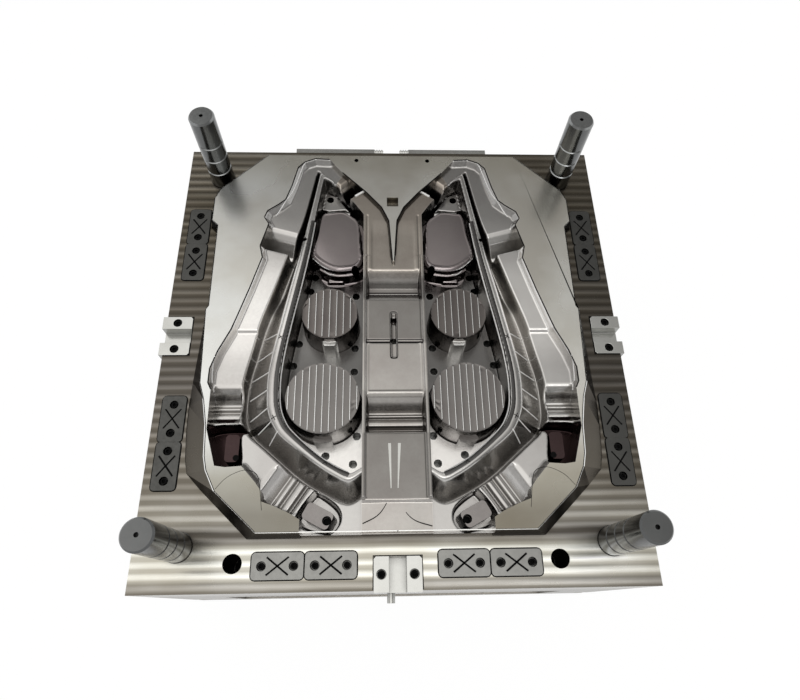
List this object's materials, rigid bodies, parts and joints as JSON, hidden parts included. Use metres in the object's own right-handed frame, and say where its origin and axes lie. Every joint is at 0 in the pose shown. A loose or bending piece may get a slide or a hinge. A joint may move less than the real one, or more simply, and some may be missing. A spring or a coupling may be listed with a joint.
{
  "type": "injection mould half",
  "caption": "Moving half of an injection mould: plates on spacer rails, two teardrop core impressions, guide pins, wear plates, interlocks and an ejector set with lifters.",
  "frame": {"origin": "centre of the clamp face, on the axis of the central knock-out bore", "axes": "+Z out of the parting face along the guide pins, +X to the right and +Y to the rear as the mould lies on its clamp face"},
  "size_m": [0.976, 1.04, 0.684],
  "materials": {
    "plate_steel": "milled tool steel with step-over marks",
    "core_steel": "fine-milled, part-polished tool steel",
    "lifter_steel": "ground tool steel",
    "dark_steel": "hardened steel",
    "bright_steel": "ground steel",
    "guide_pin": "ground hardened steel, oiled",
    "wear_plate": "nitrided steel with oil grooves",
    "pipe_steel": "plain steel tube",
    "black_oxide": "black oxide screws",
    "bronze": "bearing bronze",
    "brass": "turned brass"
  },
  "bodies": {
    "mould_base": {"clamp_plate": "plate_steel", "spacer_rail_left": "plate_steel", "spacer_rail_right": "plate_steel", "core_plate": "plate_steel", "support_plate": "plate_steel", "core_insert_left": "core_steel", "core_insert_right": "core_steel", "centre_insert": "core_steel", "small_boss_left": "core_steel", "small_boss_right": "core_steel", "large_boss_left": "core_steel", "large_boss_right": "core_steel", "pad_core_left": "core_steel", "pad_core_right": "core_steel", "guide_pin_front_left": "guide_pin", "guide_pin_front_right": "guide_pin", "guide_pin_rear_left": "guide_pin", "guide_pin_rear_right": "guide_pin", "wear_plate_1": "wear_plate", "wear_plate_2": "wear_plate", "wear_plate_3": "wear_plate", "wear_plate_4": "wear_plate", "wear_plate_5": "wear_plate", "wear_plate_6": "wear_plate", "wear_plate_7": "wear_plate", "wear_plate_8": "wear_plate", "wear_plate_9": "wear_plate", "wear_plate_10": "wear_plate", "wear_plate_11": "wear_plate", "wear_plate_12": "wear_plate", "wear_plate_screws": "black_oxide", "interlock_left": "bright_steel", "interlock_right": "bright_steel", "interlock_front": "bright_steel", "interlock_screws": "black_oxide", "lifter_bushes": "bronze", "ejector_guide_rods": "bright_steel", "support_pillars": "plate_steel", "stop_buttons": "dark_steel", "rail_screws": "black_oxide", "frame_screws": "black_oxide", "front_nipple": "bright_steel", "water_nipples": "brass", "rear_manifold_left": "pipe_steel", "rear_manifold_right": "pipe_steel"},
    "ejector_set": {"ejector_plate": "plate_steel", "retainer_plate": "plate_steel", "ejector_plate_screws": "black_oxide", "ejector_pins": "bright_steel", "sprue_puller": "bright_steel", "ejector_guide_bushes": "bronze", "lifter_gibs": "dark_steel"},
    "lifter_upper_left": {"lifter_upper_left": "lifter_steel"},
    "lifter_upper_right": {"lifter_upper_right": "lifter_steel"},
    "lifter_lower_left": {"lifter_lower_left": "lifter_steel"},
    "lifter_lower_right": {"lifter_lower_right": "lifter_steel"}
  },
  "joints": [
    {"name": "ejector_stroke", "type": "slide", "parent": "mould_base", "child": "ejector_set", "axis": [0, 0, 1], "range_m": [0, 0.08]},
    {"name": "lifter_upper_left_slide", "type": "slide", "parent": "mould_base", "child": "lifter_upper_left", "axis": [0, 0.1045, 0.9945], "range_m": [0, 0.0805]},
    {"name": "lifter_upper_right_slide", "type": "slide", "parent": "mould_base", "child": "lifter_upper_right", "axis": [0, 0.1045, 0.9945], "range_m": [0, 0.0805]},
    {"name": "lifter_lower_left_slide", "type": "slide", "parent": "mould_base", "child": "lifter_lower_left", "axis": [-0.0923, 0.0491, 0.9945], "range_m": [0, 0.0805]},
    {"name": "lifter_lower_right_slide", "type": "slide", "parent": "mould_base", "child": "lifter_lower_right", "axis": [0.0923, 0.0491, 0.9945], "range_m": [0, 0.0805]}
  ],
  "couplings": [
    {"joint": "lifter_upper_left_slide", "follows": "ejector_stroke", "ratio": 1.0055},
    {"joint": "lifter_upper_right_slide", "follows": "ejector_stroke", "ratio": 1.0055},
    {"joint": "lifter_lower_left_slide", "follows": "ejector_stroke", "ratio": 1.0055},
    {"joint": "lifter_lower_right_slide", "follows": "ejector_stroke", "ratio": 1.0055}
  ]
}
